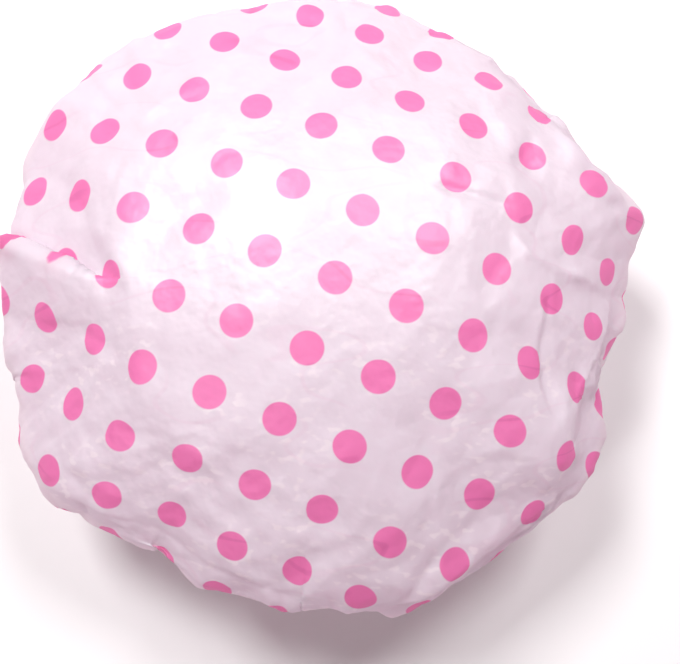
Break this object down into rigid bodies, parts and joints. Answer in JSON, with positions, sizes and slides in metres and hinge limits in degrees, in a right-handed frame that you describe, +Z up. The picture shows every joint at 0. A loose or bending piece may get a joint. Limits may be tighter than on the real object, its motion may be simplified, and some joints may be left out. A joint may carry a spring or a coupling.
{
  "type": "shower cap",
  "caption": "Puffed shower cap of frosted dotted film, gathered at its hem round an elastic band that stretches open to go over the head and hair.",
  "frame": {"origin": "middle of the cap's box, on the surface that the hem stands on", "axes": "+Z up through the crown, with the opening facing down; -Y is the side at the bottom of the picture and +X its right"},
  "size_m": [0.2722, 0.261, 0.1166],
  "materials": {
    "film": "frosted translucent white film, printed with pink dots on a square grid",
    "elastic": "white braided elastic, matt"
  },
  "bodies": {
    "cover": {"film_cover": "film"},
    "rim_01": {"gather_01": "film", "elastic_01": "elastic"},
    "rim_02": {"gather_02": "film", "elastic_02": "elastic"},
    "rim_03": {"gather_03": "film", "elastic_03": "elastic"},
    "rim_04": {"gather_04": "film", "elastic_04": "elastic"},
    "rim_05": {"gather_05": "film", "elastic_05": "elastic"},
    "rim_06": {"gather_06": "film", "elastic_06": "elastic"},
    "rim_07": {"gather_07": "film", "elastic_07": "elastic"},
    "rim_08": {"gather_08": "film", "elastic_08": "elastic"},
    "rim_09": {"gather_09": "film", "elastic_09": "elastic"},
    "rim_10": {"gather_10": "film", "elastic_10": "elastic"},
    "rim_11": {"gather_11": "film", "elastic_11": "elastic"},
    "rim_12": {"gather_12": "film", "elastic_12": "elastic"},
    "rim_13": {"gather_13": "film", "elastic_13": "elastic"},
    "rim_14": {"gather_14": "film", "elastic_14": "elastic"},
    "rim_15": {"gather_15": "film", "elastic_15": "elastic"},
    "rim_16": {"gather_16": "film", "elastic_16": "elastic"}
  },
  "joints": [
    {"name": "rim_stretch_01", "type": "slide", "parent": "cover", "child": "rim_01", "axis": [1, 0, 0], "range_m": [0, 0.03], "stiffness_N_per_m": 30},
    {"name": "rim_stretch_02", "type": "slide", "parent": "cover", "child": "rim_02", "axis": [0.9239, 0.3827, 0], "range_m": [0, 0.03], "stiffness_N_per_m": 30},
    {"name": "rim_stretch_03", "type": "slide", "parent": "cover", "child": "rim_03", "axis": [0.7071, 0.7071, 0], "range_m": [0, 0.03], "stiffness_N_per_m": 30},
    {"name": "rim_stretch_04", "type": "slide", "parent": "cover", "child": "rim_04", "axis": [0.3827, 0.9239, 0], "range_m": [0, 0.03], "stiffness_N_per_m": 30},
    {"name": "rim_stretch_05", "type": "slide", "parent": "cover", "child": "rim_05", "axis": [0, 1, 0], "range_m": [0, 0.03], "stiffness_N_per_m": 30},
    {"name": "rim_stretch_06", "type": "slide", "parent": "cover", "child": "rim_06", "axis": [-0.3827, 0.9239, 0], "range_m": [0, 0.03], "stiffness_N_per_m": 30},
    {"name": "rim_stretch_07", "type": "slide", "parent": "cover", "child": "rim_07", "axis": [-0.7071, 0.7071, 0], "range_m": [0, 0.03], "stiffness_N_per_m": 30},
    {"name": "rim_stretch_08", "type": "slide", "parent": "cover", "child": "rim_08", "axis": [-0.9239, 0.3827, 0], "range_m": [0, 0.03], "stiffness_N_per_m": 30},
    {"name": "rim_stretch_09", "type": "slide", "parent": "cover", "child": "rim_09", "axis": [-1, 0, 0], "range_m": [0, 0.03], "stiffness_N_per_m": 30},
    {"name": "rim_stretch_10", "type": "slide", "parent": "cover", "child": "rim_10", "axis": [-0.9239, -0.3827, 0], "range_m": [0, 0.03], "stiffness_N_per_m": 30},
    {"name": "rim_stretch_11", "type": "slide", "parent": "cover", "child": "rim_11", "axis": [-0.7071, -0.7071, 0], "range_m": [0, 0.03], "stiffness_N_per_m": 30},
    {"name": "rim_stretch_12", "type": "slide", "parent": "cover", "child": "rim_12", "axis": [-0.3827, -0.9239, 0], "range_m": [0, 0.03], "stiffness_N_per_m": 30},
    {"name": "rim_stretch_13", "type": "slide", "parent": "cover", "child": "rim_13", "axis": [0, -1, 0], "range_m": [0, 0.03], "stiffness_N_per_m": 30},
    {"name": "rim_stretch_14", "type": "slide", "parent": "cover", "child": "rim_14", "axis": [0.3827, -0.9239, 0], "range_m": [0, 0.03], "stiffness_N_per_m": 30},
    {"name": "rim_stretch_15", "type": "slide", "parent": "cover", "child": "rim_15", "axis": [0.7071, -0.7071, 0], "range_m": [0, 0.03], "stiffness_N_per_m": 30},
    {"name": "rim_stretch_16", "type": "slide", "parent": "cover", "child": "rim_16", "axis": [0.9239, -0.3827, 0], "range_m": [0, 0.03], "stiffness_N_per_m": 30}
  ],
  "couplings": [
    {"joint": "rim_stretch_02", "follows": "rim_stretch_01", "ratio": 1},
    {"joint": "rim_stretch_03", "follows": "rim_stretch_01", "ratio": 1},
    {"joint": "rim_stretch_04", "follows": "rim_stretch_01", "ratio": 1},
    {"joint": "rim_stretch_05", "follows": "rim_stretch_01", "ratio": 1},
    {"joint": "rim_stretch_06", "follows": "rim_stretch_01", "ratio": 1},
    {"joint": "rim_stretch_07", "follows": "rim_stretch_01", "ratio": 1},
    {"joint": "rim_stretch_08", "follows": "rim_stretch_01", "ratio": 1},
    {"joint": "rim_stretch_09", "follows": "rim_stretch_01", "ratio": 1},
    {"joint": "rim_stretch_10", "follows": "rim_stretch_01", "ratio": 1},
    {"joint": "rim_stretch_11", "follows": "rim_stretch_01", "ratio": 1},
    {"joint": "rim_stretch_12", "follows": "rim_stretch_01", "ratio": 1},
    {"joint": "rim_stretch_13", "follows": "rim_stretch_01", "ratio": 1},
    {"joint": "rim_stretch_14", "follows": "rim_stretch_01", "ratio": 1},
    {"joint": "rim_stretch_15", "follows": "rim_stretch_01", "ratio": 1},
    {"joint": "rim_stretch_16", "follows": "rim_stretch_01", "ratio": 1}
  ]
}
